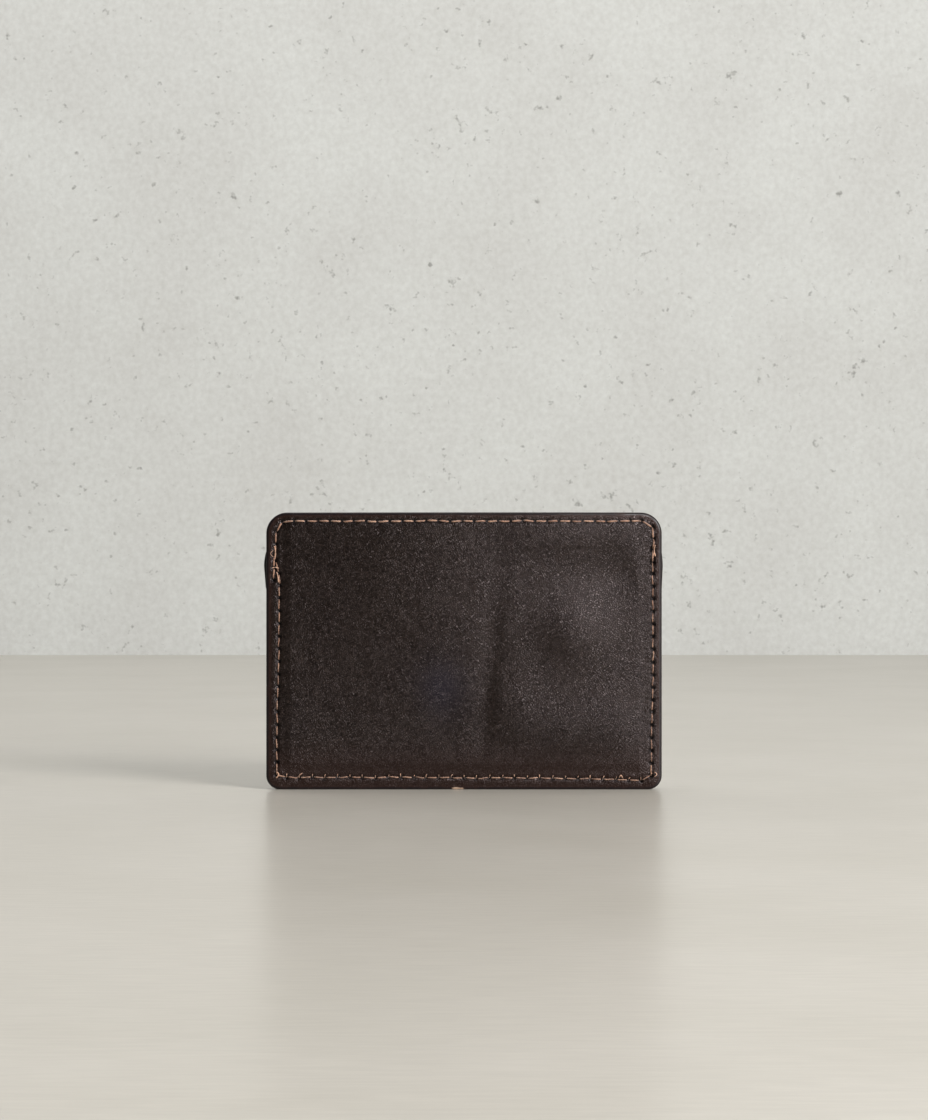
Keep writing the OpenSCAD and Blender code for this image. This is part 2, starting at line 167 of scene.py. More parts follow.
def softbox(name, place, target, size, power, colour):
    """A square area light at place, turned to face target, both in metres."""
    data = bpy.data.lights.new(name, "AREA")
    data.shape = "SQUARE"
    data.size = size
    data.energy = power
    data.color = linear(colour)[:3]
    light = bpy.data.objects.new(name, data)
    light.location = place
    toward = [t - p for t, p in zip(target, place)]
    flat = math.hypot(toward[0], toward[1])
    light.rotation_euler = (math.atan2(flat, -toward[2]), 0, math.atan2(-toward[0], toward[1]))
    bpy.context.scene.collection.objects.link(light)


softbox("key_light", (1.0, -1.25, 0.62), (0, 0, 0.03), 0.7, 40, "#fffdfc")
softbox("overhead_light", (0, -0.1, 1.9), (0, 0, 0), 1.6, 11, "#ffffff")
softbox("fill_light", (-0.7, 0.85, 0.7), (0, 0, 0.04), 0.6, 1.5, "#ffffff")
softbox("wall_light", (0.1, 0.15, 1.5), (0, 1.13, 0.35), 1.0, 6, "#ffffff")

world = bpy.data.worlds.new("room")
world.use_nodes = True
world.node_tree.nodes["Background"].inputs["Color"].default_value = linear("#f4f4f2")
world.node_tree.nodes["Background"].inputs["Strength"].default_value = 0.07
bpy.context.scene.world = world
bpy.context.scene.view_settings.view_transform = "Standard"


# ---- Front panel -------------------------------------------------------------------------------
# One piece of vegetable-tanned cowhide, dyed a very dark olive brown and waxed by hand. Its edges
# are rounded over and burnished, and two stitch lines press it down all round. Years in a pocket
# have left a long slanting crease and soft mounds over the cards inside.

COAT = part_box("base_edge_paint")[1].z / MM  # thickness of the paint on the edges
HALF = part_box("front_panel")[1].x / MM + COAT
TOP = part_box("front_panel")[1].z / MM + COAT
MOUTH_RADIUS = 5.3
BASE_RADIUS = 3.5
SEAM_X = HALF - 2.5
SEAM_Z = 3.0
HEM_Z = TOP - 2.2
SEAM_RADIUS = 3.0

FRONT_LEATHER = 1.2
LINING = 0.25
FILLER = 0.3  # stiffener board and tapes
GLUE = 0.03
FRONT_BOW = 3.8
MEET_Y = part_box("base_edge_paint")[0].y / MM + FRONT_LEATHER + LINING + 2 * GLUE
ROLL = (0.55, 0.7)  # how far a face drops at its rounded edge, and over what width


def ease(t):
    """0 up to t = 0, 1 from t = 1, and the smooth cubic 3t^2 - 2t^3 between."""
    t = np.clip(t, 0.0, 1.0)
    return t * t * (3 - 2 * t)


def hill(x, z, place, spread, turn=0.0):
    """A round hill, 1 at place: exp(-(u/a)^2 - (v/b)^2), with u and v turned by turn degrees."""
    c, s = math.cos(math.radians(turn)), math.sin(math.radians(turn))
    u = (x - place[0]) * c + (z - place[1]) * s
    v = (z - place[1]) * c - (x - place[0]) * s
    return np.exp(-((u / spread[0]) ** 2) - (v / spread[1]) ** 2)


def bow(x, z):
    """How open the pocket stands, 0 at its seams and 1 at the mouth's middle:
    (1 - (x/seam)^2)^1.5 across, times a quarter of a sine wave up."""
    across = np.clip(1 - (x / SEAM_X) ** 2, 0, None) ** 1.5
    return across * np.sin(np.pi / 2 * np.clip((z - SEAM_Z) / (TOP - SEAM_Z), 0, 1))


def inside_seams(x, z):
    """0 on the sewn edges and the mouth, and 1 on the free part of a wall."""
    return ease((SEAM_X - 1 - np.abs(x)) / 7) * ease((z - SEAM_Z - 1) / 7) * ease((TOP - 1 - z) / 6)


def front_folds(x, z):
    """How far the front wall is pushed out (above 0) or in by wear: a long slanting crease right of
    the middle, four soft mounds right of it and a hollow near the mouth's right corner, a lip where
    the mouth leans out, and faint ripples on the left."""
    slant = x - (5.2 + 0.08 * (z - 17))
    push = -0.42 * np.exp(-((slant / 2.6) ** 2)) * ease((z - 4) / 14) * (1 - 0.6 * ease((z - 38) / 16))
    push += 0.55 * hill(x, z, (13, 22), (8, 10)) + 1.45 * hill(x, z, (28, 40), (8, 8.5))
    push += 0.6 * hill(x, z, (26, 15), (10, 7)) + 0.16 * hill(x, z, (-21, 54), (4.5, 11))
    push += 0.12 * hill(x, z, (-8, 36), (6, 16), 8) - 0.12 * hill(x, z, (-4, 18), (2.2, 8))
    push += 0.65 * hill(x, z, (38, 17), (8.5, 7)) - 0.6 * hill(x, z, (38, 54), (9, 6.5))
    lip = 1.1 * ease((z - 53) / 13) * ease((x - 2) / 24) * ease((SEAM_X - x) / 8)
    return push * inside_seams(x, z) + lip


def front_wall(x, z, depth):
    """Y of the layer that lies depth into the front wall, from the lining's face outwards."""
    return MEET_Y - FRONT_BOW * bow(x, z) - front_folds(x, z) - depth


def front_leather_in(x, z):
    """Depth of the leather's flesh side: the lining, two glue lines, and the board or tape, which
    fades out before the seams."""
    inset = SEAM_X - 4
    filler = ease((inset + 3 - np.abs(x)) / 3) * ease((z - SEAM_Z - 1) / 3)
    return LINING + 2 * GLUE + FILLER * filler


def edge_distance(x, z, high=TOP, high_radius=MOUTH_RADIUS):
    """Distance in from a rounded outline that stands on the base: the rounded box's formula."""
    radius = np.where(z > high / 2, high_radius, BASE_RADIUS)
    out_x = np.abs(x) - (HALF - radius)
    out_z = np.abs(z - high / 2) - (high / 2 - radius)
    corner = np.hypot(np.clip(out_x, 0, None), np.clip(out_z, 0, None))
    return radius - corner - np.minimum(np.maximum(out_x, out_z), 0)


def arc(centre, radius, start, end, steps=8):
    """Points on a circle from start to end degrees."""
    a = np.radians(np.linspace(start, end, steps))
    return np.stack([centre[0] + radius * np.cos(a), centre[1] + radius * np.sin(a)], 1)


def along(path, spacing):
    """Points spread evenly along path, as near to spacing apart as a whole number allows."""
    run = np.concatenate([[0], np.cumsum(np.linalg.norm(np.diff(path, axis=0), axis=1))])
    at = np.linspace(0, run[-1], max(1, round(run[-1] / spacing)) + 1)
    return np.stack([np.interp(at, run, path[:, 0]), np.interp(at, run, path[:, 1])], 1)


def distance_to(path, x, z):
    """Each point's distance to the nearest piece of path."""
    nearest = np.full(np.shape(x), np.inf)
    for (ax, az), (bx, bz) in zip(path[:-1], path[1:]):
        length = (bx - ax) ** 2 + (bz - az) ** 2
        t = np.clip(((x - ax) * (bx - ax) + (z - az) * (bz - az)) / length, 0, 1)
        nearest = np.minimum(nearest, np.hypot(x - ax - t * (bx - ax), z - az - t * (bz - az)))
    return nearest


def pits(holes, x, z, across, along_seam):
    """1 in each needle hole, fading to 0: a Gaussian with a width across and along the seam."""
    tangent = np.gradient(holes, axis=0)
    tangent /= np.linalg.norm(tangent, axis=1)[:, None]
    deepest = np.zeros(np.shape(x))
    for (hx, hz), (tx, tz) in zip(holes, tangent):
        u, v = (x - hx) * tx + (z - hz) * tz, (z - hz) * tx - (x - hx) * tz
        deepest = np.maximum(deepest, np.exp(-((u / along_seam) ** 2) - (v / across) ** 2))
    return deepest


class Seam:
    """A row of lock stitches: its line, and the needle holes along it, a little unevenly spaced."""

    def __init__(self, line, pitch, seed):
        self.line = along(line, 1.5)
        self.holes = along(line, pitch)
        self.holes[1:-1] += np.random.default_rng(seed).normal(0, 0.07, (len(self.holes) - 2, 2))

    def relief(self, x, z, groove, hole):
        """Depth pressed in by the row: a round groove with raised sides, a pit at each hole, and a
        pucker across the seam at each hole."""
        near = distance_to(self.line, x, z)
        depth = np.zeros(np.shape(x))
        close = near < 3
        cx, cz, d = x[close], z[close], near[close]
        depth[close] = groove * np.exp(-((d / 0.6) ** 2)) - 0.15 * groove * np.exp(-(((d - 1.3) / 0.55) ** 2))
        depth[close] += hole * pits(self.holes, cx, cz, 0.45, 0.4)
        depth[close] += 0.35 * groove * pits(self.holes, cx, cz, 1.6, 0.45)
        return depth


def mouth_line():
    """The row round the front's mouth. It drifts outwards on its way down the left side, and ends
    where the side seam takes over."""
    left_z = np.linspace(53, HEM_Z - SEAM_RADIUS, 12)
    right_z = left_z[-1:3:-1]
    left = np.stack([-SEAM_X - 0.6 * ease((left_z[-1] - left_z) / 9), left_z], 1)
    right = np.stack([SEAM_X + 0.4 - 0.2 * ease((left_z[-1] - right_z) / 9), right_z], 1)
    z, r = HEM_Z - SEAM_RADIUS, SEAM_RADIUS
    corners = arc((r - SEAM_X, z), r, 180, 90), arc((SEAM_X + 0.4 - r, z), r, 90, 0)
    return np.concatenate([left[:-1], *corners, right[1:]])


def side_line():
    """The row that joins the walls, from the left side's top down, along the bottom and up the right.
    On the left it starts beside the mouth's row and steps inwards; at the bottom right it sags."""
    z = np.linspace(61, SEAM_Z + 0.1, 50)
    left = np.stack([-SEAM_X - 0.2 + 0.95 * ease((57 - z) / 2) - 0.6 * ease((42 - z) / 32), z], 1)
    x = np.linspace(1 - SEAM_X, SEAM_X - 1, 40)
    base = np.stack([x, SEAM_Z + 0.05 - 0.3 * ease(x / 35) - 0.35 * ease((x - 30) / 15)], 1)
    z = np.linspace(SEAM_Z + 0.7, 61, 50)
    right = np.stack([SEAM_X - 0.15 + 0.35 * ease((z - 10) / 25), z], 1)
    return np.concatenate([left, base, right])


mouth_seam = Seam(mouth_line(), 3.0, 1)
side_seam = Seam(side_line(), 3.2, 2)


def places(low, high, fine, coarse, rim):
    """Places from low to high, fine apart within rim of either end and coarse apart in the middle:
    the running sum of 1/spacing, cut into equal steps."""
    s = np.linspace(low, high, 4001)
    inside = np.minimum(s - low, high - s)
    spacing = fine + (coarse - fine) * ease((inside - rim) / rim)
    count = np.concatenate([[0], np.cumsum(np.diff(s) / spacing[:-1])])
    return np.interp(np.linspace(0, count[-1], round(count[-1]) + 1), count, s)


def rounded_grid(low, high, low_radius, high_radius, fine, coarse, rim=5.0, climb=None):
    """X and Z of a grid over the wallet's width, inside the paint, from low to high. A corner's
    square is pressed into a quarter disc: a point's larger coordinate becomes its radius. Climb is
    the spacing upwards in the middle, where it differs from the one across."""
    half = HALF - COAT
    rows = places(low, high, fine, climb or coarse, rim)
    x, z = np.meshgrid(places(-half, half, fine, coarse, rim), rows)
    for radius, centre_z, up in ((low_radius, low + low_radius, -1), (high_radius, high - high_radius, 1)):
        if radius > 0:
            u, v = (np.abs(x) - (half - radius)) / radius, up * (z - centre_z) / radius
            inside = (u > 0) & (v > 0)
            scale = radius * np.maximum(u, v) / np.maximum(np.hypot(u, v), 1e-9)
            x = np.where(inside, np.sign(x) * (half - radius + u * scale), x)
            z = np.where(inside, centre_z + up * v * scale, z)
    return x, z


def build(name, points, faces, smooth_angle=50):
    """A piece from points in millimetres and a list of face arrays, one for each number of corners."""
    mesh = bpy.data.meshes.new(name)
    corners = np.concatenate([f.ravel() for f in faces]).astype(np.int32)
    sizes = np.concatenate([np.full(len(f), f.shape[1]) for f in faces])
    mesh.vertices.add(len(points))
    mesh.vertices.foreach_set("co", (points * MM).astype(np.float32).ravel())
    mesh.loops.add(len(corners))
    mesh.loops.foreach_set("vertex_index", corners)
    mesh.polygons.add(len(sizes))
    mesh.polygons.foreach_set("loop_start", np.concatenate([[0], np.cumsum(sizes)[:-1]]).astype(np.int32))
    mesh.update(calc_edges=True)
    mesh.set_sharp_from_angle(angle=math.radians(smooth_angle))
    piece = bpy.data.objects.new(name, mesh)
    bpy.context.scene.collection.objects.link(piece)
    return piece


def set_attribute(piece, name, values):
    """Stores one number for each point of the piece, for its material to read."""
    made = piece.data.attributes.new(name, "FLOAT", "POINT")
    made.data.foreach_set("value", np.asarray(values, np.float32).ravel())


def layer(name, x, z, front_y, back_y):
    """A closed sheet between two surfaces over the same grid, with its cut edge as a band of quads."""
    rows, columns = x.shape
    points = np.concatenate([np.stack([x, y, z], -1).reshape(-1, 3) for y in (front_y, back_y)])
    number = np.arange(rows * columns).reshape(rows, columns)
    first = number[:-1, :-1].ravel()
    front = np.stack([first, first + 1, first + columns + 1, first + columns], 1)
    loop = np.concatenate([number[0], number[1:, -1], number[-1, -2::-1], number[-2:0:-1, 0]])
    after = np.roll(loop, -1)
    band = np.stack([after, loop, loop + x.size, after + x.size], 1)
    return build(name, points, [np.concatenate([front, front[:, ::-1] + x.size, band])])


def sewn_in(piece, material, slot, *nodes):
    """Gives a finished piece its material and sets it on the wallet's one body."""
    piece.data.materials.append(material)
    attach(piece, "root")
    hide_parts(*nodes)
    return piece


def roll_over(distance, roll=ROLL):
    """How far a face has dropped at this distance from its edge: a quarter of an ellipse."""
    return roll[0] * (1 - np.sqrt(1 - np.clip(1 - distance / roll[1], 0, 1) ** 2))


def plump(distance):
    """The rim outside a seam swells, because the thread pulls the leather down inside it."""
    return 0.02 * np.exp(-(((distance - 1.1) / 0.5) ** 2))


def front_relief(x, z):
    """Height of the front leather's face over its plain surface."""
    distance = edge_distance(x, z)
    pressed = mouth_seam.relief(x, z, 0.12, 0.5) + side_seam.relief(x, z, 0.12, 0.5)
    thinned = 0.34 * ease(1 - distance / 3.2)
    imprint = 0.07 * ease((z - 60.6) / 1.2) * inside_seams(x, z) * ease((x - 5) / 15)
    wrinkles = 0.07 * np.sin(2 * np.pi * z / 1.05 + 1.5 * np.sin(z / 2.3)) * hill(
        x, z, (SEAM_X - 1.7, 33), (1.0, 18)
    )
    return imprint + wrinkles - thinned - pressed - roll_over(distance)


def front_face(x, z):
    """Y of the front leather's finished face."""
    return front_wall(x, z, front_leather_in(x, z) + FRONT_LEATHER + front_relief(x, z))


def reckoned(tree, operation, *values):
    """The result of one arithmetic operation in the shader."""
    return shader_node(tree, "ShaderNodeMath", dict(enumerate(values)), operation=operation).outputs[0]


def stored(tree, name):
    """What set_attribute has stored under name."""
    return shader_node(tree, "ShaderNodeAttribute", attribute_name=name).outputs["Fac"]


def bump(tree, shader, height, depth_mm, strength):
    """Shades a surface as if it stood height times depth_mm out."""
    inputs = {"Height": height, "Distance": depth_mm * MM, "Strength": strength}
    tree.links.new(shader_node(tree, "ShaderNodeBump", inputs).outputs[0], shader.inputs["Normal"])


def leather(name, dark, light, rubbed_colour, rim):
    """Waxed full-grain cowhide. Pebbled grain with fine creases between the pebbles, cloudy dye that
    is lighter where it was handled, a redder rim, and wax that leaves the shine uneven. Painted shade
    fills the creases and the needle holes, and a bluish patch of painted sheen lies left of the crease."""
    material, tree, shader = new_material(name, IOR=1.5, Specular_Tint=linear("#ffeded"))
    place = object_place(tree)
    bend = shader_node(
        tree, "ShaderNodeTexNoise", {"Vector": place, "Scale": 1 / (1.4 * MM), "Detail": 2.0}
    ).outputs["Color"]
    wander = shader_node(tree, "ShaderNodeVectorMath", {0: bend, "Scale": 0.5 * MM}, operation="SCALE")
    bent = shader_node(tree, "ShaderNodeVectorMath", {0: place, 1: wander.outputs[0]}, operation="ADD")
    # Real pebbles are 0.3 to 0.5 mm; they are drawn at the upper end, so that they show.
    pebbles = shader_node(
        tree,
        "ShaderNodeTexVoronoi",
        {"Vector": bent.outputs[0], "Scale": 1 / (0.5 * MM)},
        feature="DISTANCE_TO_EDGE",
    ).outputs["Distance"]
    pebble = ramp(tree, pebbles, 0.0, 0.25)
    near_rim = stored(tree, "rim")
    hole_shade = stored(tree, "hole")
    cloud = ramp(tree, noise(tree, place, 14, 4.0, 0.55), 0.35, 0.68)
    worn = ramp(tree, noise(tree, place, 0.8, 3.0, 0.7), 0.48, 0.72)
    dyed = mixed(tree, cloud, linear(dark), linear(light))
    flecked = mixed(tree, reckoned(tree, "MULTIPLY", worn, pebble), dyed, linear(rubbed_colour))
    # Painted shade: the grain's creases between the pebbles are coloured near black.
    crease_shaded = mixed(tree, ramp(tree, pebbles, 0.0, 0.1), linear("#040303"), flecked)
    # Painted sheen: a bluish patch left of the crease, mixed into the colour.
    painted_sheen_patch = stored(tree, "painted_sheen_patch")
    sheen_tinted = mixed(tree, painted_sheen_patch, crease_shaded, linear("#14121a"))
    edged = mixed(tree, near_rim, sheen_tinted, linear(rim))
    # Painted shade: the needle holes are coloured near black.
    tree.links.new(mixed(tree, hole_shade, edged, linear("#050404")), shader.inputs["Base Color"])
    shine = ramp(tree, noise(tree, place, 5, 4.0, 0.6), 0.3, 0.7, 0.32, 0.43)
    polish = ramp(tree, near_rim, 0.0, 0.8, 0.35, 0.22)
    polish = reckoned(tree, "MULTIPLY", polish, ramp(tree, pebbles, 0.0, 0.2, 0.45, 1.1))
    tree.links.new(polish, shader.inputs["Specular IOR Level"])
    waxed = reckoned(tree, "MULTIPLY_ADD", pebble, -0.12, shine)
    tree.links.new(waxed, shader.inputs["Roughness"])
    pores = noise(tree, place, 0.25, 3.0, 0.6)
    height = reckoned(tree, "MULTIPLY_ADD", pores, 0.6, pebble)
    bump(tree, shader, height, 0.047, ramp(tree, near_rim, 0.0, 0.8, 1.0, 0.8))
    return material


def leather_panel(name, x, z, inner, outer, distance, seams, material, slot, node):
    """A layer of leather between its flesh side, inner, and its face, outer, both as Y. The rim is
    marked on the face for the dye, and the needle holes for painted shade."""
    to_front = outer.mean() < inner.mean()
    piece = layer(name, x, z, *((outer, inner) if to_front else (inner, outer)))
    # hole marks each needle hole, where the face takes painted shade.
    hole = np.max([ease(2.1 * pits(seam.holes, x, z, 0.62, 0.52)) for seam in seams], axis=0)
    handled = np.maximum(0.8 * np.exp(-((distance / 1.2) ** 2)), 0.3 * ease((15 - z) / 13))
    for attribute, values in (("rim", handled), ("hole", hole)):
        blank = np.zeros(x.size)
        both = (values.ravel(), blank) if to_front else (blank, values.ravel())
        set_attribute(piece, attribute, np.concatenate(both))
    return sewn_in(piece, material, slot, node)


low_radius, high_radius = BASE_RADIUS - COAT, MOUTH_RADIUS - COAT
x, z = rounded_grid(COAT, TOP - COAT, low_radius, high_radius, 0.19, 0.85, climb=0.34)
front = leather_panel(
    "front_panel_leather",
    x,
    z,
    front_wall(x, z, front_leather_in(x, z)),
    front_face(x, z),
    edge_distance(x, z),
    [mouth_seam, side_seam],
    leather("waxed_front_cowhide", "#0f0805", "#160f0a", "#3a312e", "#33211c"),
    "front_leather",
    "front_panel",
)
# Where the bluish painted sheen lies on the front: a patch left of the crease.
painted_sheen_values = hill(x, z, (-5.6, 26), (6, 7)).ravel()
set_attribute(front, "painted_sheen_patch", np.concatenate([painted_sheen_values, np.zeros(x.size)]))


# ---- Stiffener board and mouth tape ------------------------------------------------------------
# A thin board of bonded leather fibre keeps the front wall flat, and a strip of woven cotton tape
# keeps its mouth from stretching. Both are glued between the leather and the lining.

TAPE_TOP = TOP - COAT - 0.4
TAPE_HEIGHT = 5.0
FILLER_HALF = SEAM_X - 4


def woven(name, dark, light, thread_mm, roughness, sheen):
    """Plain-weave cloth. Warp and weft are rows of half-round threads, |sin| across each, and the one
    on top changes in a chequer; the lower one and each thread's sides get painted shade, broken up by
    slubs. Fibres give it a little sheen."""
    material, tree, shader = new_material(name, Roughness=roughness, Sheen_Weight=sheen)
    place = object_place(tree)
    axes = shader_node(tree, "ShaderNodeSeparateXYZ", {0: place}).outputs
    turns = [reckoned(tree, "MULTIPLY", axes[axis], math.pi / (thread_mm * MM)) for axis in (0, 2)]
    waves = [reckoned(tree, "SINE", turn) for turn in turns]
    over = ramp(tree, reckoned(tree, "MULTIPLY", *waves), -0.12, 0.12)
    round_threads = [reckoned(tree, "ABSOLUTE", wave) for wave in waves]
    inputs = {0: over, 2: round_threads[0], 3: round_threads[1]}
    height = shader_node(tree, "ShaderNodeMix", inputs, data_type="FLOAT").outputs[0]
    # Painted shade: the colour darkens where the thread surface lies low, broken up by slub noise.
    slub_and_shade = reckoned(tree, "MULTIPLY", noise(tree, place, 0.6, 3.0), height)
    colour = mixed(tree, ramp(tree, slub_and_shade, 0.1, 0.5), linear(dark), linear(light))
    tree.links.new(colour, shader.inputs["Base Color"])
    bump(tree, shader, height, 0.3 * thread_mm, 0.8)
    return material


def bonded_board(name):
    """Bonded leather board: short fibres pressed flat, so it is mottled and matt, with faint pits."""
    material, tree, shader = new_material(name, Roughness=0.85)
    place = object_place(tree)
    fibres = noise(tree, place, 0.7, 6.0, 0.7)
    colour = mixed(tree, ramp(tree, fibres, 0.35, 0.65), linear("#7a634b"), linear("#a58c6c"))
    tree.links.new(colour, shader.inputs["Base Color"])
    bump(tree, shader, fibres, 0.08, 0.6)
    return material


def strip_grid(half, low, high, step):
    """X and Z of an even grid over a plain rectangle."""
    columns, rows = round(2 * half / step) + 1, max(2, round((high - low) / step)) + 1
    return np.meshgrid(np.linspace(-half, half, columns), np.linspace(low, high, rows))


def filler(name, wall, leather_in, low, high):
    """A strip glued between a wall's lining and its leather, from low to high."""
    x, z = strip_grid(FILLER_HALF, low, high, 1.0)
    sides = wall(x, z, leather_in(x, z) - GLUE), wall(x, z, LINING + GLUE)
    return layer(name, x, z, *(sides if wall is front_wall else sides[::-1]))


cotton_tape = woven("woven_cotton_tape", "#9b9384", "#e2dccd", 0.4, 0.9, 0.3)
tape_low = TAPE_TOP - TAPE_HEIGHT
board = filler("front_stiffener_board", front_wall, front_leather_in, SEAM_Z + 4, tape_low - 1)
sewn_in(board, bonded_board("bonded_leather_board"), "stiffener", "front_stiffener")
tape = filler("front_mouth_cotton_tape", front_wall, front_leather_in, tape_low, TAPE_TOP)
sewn_in(tape, cotton_tape, "mouth_tape", "front_mouth_tape")


# ---- Lining of the centre pocket ---------------------------------------------------------------
# Thin plain-weave cloth, glued to the flesh side of both walls and cut flush with their edges.

BACK_BOW = 2.2
BACK_LEATHER = 1.0


def back_wall(x, z, depth):
    """Y of the layer that lies depth into the back wall, from the lining's face outwards."""
    return MEET_Y + BACK_BOW * bow(x, z) + depth


lining_cloth = woven("woven_pocket_lining", "#241d19", "#54473e", 0.3, 0.8, 0.25)
x, z = rounded_grid(COAT, TOP - COAT, BASE_RADIUS - COAT, MOUTH_RADIUS - COAT, 0.7, 1.3)
front_lining = layer(
    "front_lining_cloth", x, z, front_wall(x, z, LINING), front_wall(x, z, GLUE / 2)
)
sewn_in(front_lining, lining_cloth, "lining_cloth", "front_lining")
back_lining = layer("back_lining_cloth", x, z, back_wall(x, z, GLUE / 2), back_wall(x, z, LINING))
sewn_in(back_lining, lining_cloth, "lining_cloth", "back_lining")


# ---- Back panel --------------------------------------------------------------------------------
# Thinner leather from the same hide, with cotton tape along its mouth. Only the strip above the
# card slots shows, with its own row of stitches.


def back_leather_in(x, z):
    """Depth of the leather's flesh side: the lining, two glue lines and, at the mouth, the tape."""
    low = TAPE_TOP - TAPE_HEIGHT - 6
    filler = ease((FILLER_HALF + 3 - np.abs(x)) / 3) * ease((z - low) / 3)
    return LINING + 2 * GLUE + FILLER * filler


def back_mouth_line():
    """The row round the back's mouth, which ends just past its corners."""
    z, r = HEM_Z - SEAM_RADIUS, SEAM_RADIUS
    end = np.array([[SEAM_X, z - 1.5]])
    corners = arc((r - SEAM_X, z), r, 180, 90), arc((SEAM_X - r, z), r, 90, 0)
    return np.concatenate([end * [-1, 1], *corners, end])


back_mouth_seam = Seam(back_mouth_line(), 3.0, 3)


def back_face(x, z):
    """Y of the back leather's finished face."""
    distance = edge_distance(x, z)
    relief = plump(distance) - back_mouth_seam.relief(x, z, 0.24, 0.45) - roll_over(distance)
    return back_wall(x, z, back_leather_in(x, z) + BACK_LEATHER + relief)


tape = filler("back_mouth_cotton_tape", back_wall, back_leather_in, tape_low, TAPE_TOP)
sewn_in(tape, cotton_tape, "mouth_tape", "back_mouth_tape")
x, z = rounded_grid(COAT, TOP - COAT, BASE_RADIUS - COAT, MOUTH_RADIUS - COAT, 0.2, 0.9)
leather_panel(
    "back_panel_leather",
    x,
    z,
    back_wall(x, z, back_leather_in(x, z)),
    back_face(x, z),
    edge_distance(x, z),
    [back_mouth_seam],
    leather("waxed_back_cowhide", "#0e0805", "#150e0a", "#38302d", "#33211c"),
    "back_leather",
    "back_panel",
)


# ---- Upper card slot ---------------------------------------------------------------------------
# A T-shaped pocket of thin cloth with a strip of leather glued along its top. The ears of the T
# reach the side seams and bulge a little past them; its lower edge is stitched to the back panel.

POCKET_LEATHER = 0.85
SLIP = 0.2
PRESSED = (0.2, 0.4)  # depth of the groove under a pocket's stitches, and of their needle holes
HEM_DROP = 2.2
HEM_HALF = 46.2
UPPER_MOUTH = 62.0
LOWER_MOUTH = 50.0
UPPER_FLOOR = 14.5
SLOT_GAP = 0.85
FACING_LOW = 43.0
BODY_HALF = 42.0
SHOULDER = 0.8
EAR_RADIUS = 2.4
POCKET_ROLL = (0.4, 0.55)


def flared(x, z):
    """X pushed outwards below the slot's mouth, where the pockets' edges bulge past the walls: most
    5 to 6 mm under the mouth, gone at 17 mm, and more on the left than on the right."""
    drop = UPPER_MOUTH - z
    bulge = np.where(x < 0, 0.95, 0.55) * ease(drop / 6) * (1 - ease(drop / 17))
    return x * (1 + bulge / HALF)


def rise(x, z, floor):
    """How far a card pocket has risen from its seams: 0 on them and 1 on its free part."""
    return ease((SEAM_X - 0.75 - np.abs(x)) / 3.9) * ease((z - floor) / 7)


def card_print(x, z, low):
    """The soft step a card has pressed into the leather over it, 0.1 mm high along its outline."""
    outside = np.maximum(np.abs(x) - 42.4, low - z)
    return 0.1 * (1 - ease(outside / 2.4 + 0.5))


def upper_in(x, z):
    """Depth of the upper pocket's cloth, over the back leather."""
    return back_leather_in(x, z) + BACK_LEATHER + GLUE + SLOT_GAP * rise(x, z, UPPER_FLOOR)


def hem(mouth, seed):
    """The straight row below a pocket's mouth."""
    return Seam(np.array([[-HEM_HALF, mouth - HEM_DROP], [HEM_HALF, mouth - HEM_DROP]]), 3.1, seed)


upper_hem = hem(UPPER_MOUTH, 4)


def upper_face(x, z):
    """Y of the finished face of the upper pocket's leather."""
    distance = edge_distance(x, z, UPPER_MOUTH, EAR_RADIUS)
    pressed = upper_hem.relief(x, z, *PRESSED) + side_seam.relief(x, z, *PRESSED)
    relief = plump(distance) + card_print(x, z, 0) - pressed - roll_over(distance, POCKET_ROLL)
    return back_wall(x, z, upper_in(x, z) + SLIP + GLUE + POCKET_LEATHER + relief)


def t_shape(low, fine, coarse):
    """X and Z of a grid over the T from low to its mouth: each row of a rounded grid is drawn in to
    the body's width below the shoulders."""
    x, z = rounded_grid(low, UPPER_MOUTH - COAT, 0, EAR_RADIUS - COAT, fine, coarse, 3.0)
    shoulder = np.clip((z - LOWER_MOUTH) / SHOULDER, 0, 1)
    return x * (BODY_HALF / HALF + (1 - BODY_HALF / HALF) * shoulder), z


def pocket_cloth(name, x, z, depth):
    """A pocket's cloth, whose inner side lies depth into the back wall."""
    return layer(name, flared(x, z), z, back_wall(x, z, depth), back_wall(x, z, depth + SLIP))


pocket_leather = leather("waxed_pocket_cowhide", "#0d0705", "#140e09", "#362e2b", "#33211c")
slip_cloth = woven("thin_pocket_cloth", "#1d1816", "#3f3631", 0.25, 0.75, 0.2)
x, z = t_shape(FACING_LOW, 0.2, 0.7)
leather_panel(
    "upper_pocket_leather_strip",
    flared(x, z),
    z,
    back_wall(x, z, upper_in(x, z) + SLIP + GLUE),
    upper_face(x, z),
    edge_distance(x, z, UPPER_MOUTH, EAR_RADIUS),
    [upper_hem, side_seam],
    pocket_leather,
    "pocket_leather",
    "upper_pocket_facing",
)
x, z = t_shape(UPPER_FLOOR - 1.5, 0.3, 0.7)
slip = pocket_cloth("upper_pocket_cloth", x, z, upper_in(x, z))
sewn_in(slip, slip_cloth, "slip_cloth", "upper_pocket_body")


# ---- Lower card slot ---------------------------------------------------------------------------
# A leather pocket over the whole lower back, lined with the same thin cloth, and sewn in with the
# walls at its sides and bottom.

LOWER_LIFT = 2 * SLOT_GAP + SLIP + POCKET_LEATHER + 2 * GLUE
LOWER_RADIUS = 1.2

lower_hem = hem(LOWER_MOUTH, 5)


def lower_in(x, z):
    """Depth of the lower pocket's cloth, over the back leather and the upper pocket."""
    return back_leather_in(x, z) + BACK_LEATHER + GLUE + LOWER_LIFT * rise(x, z, SEAM_Z)


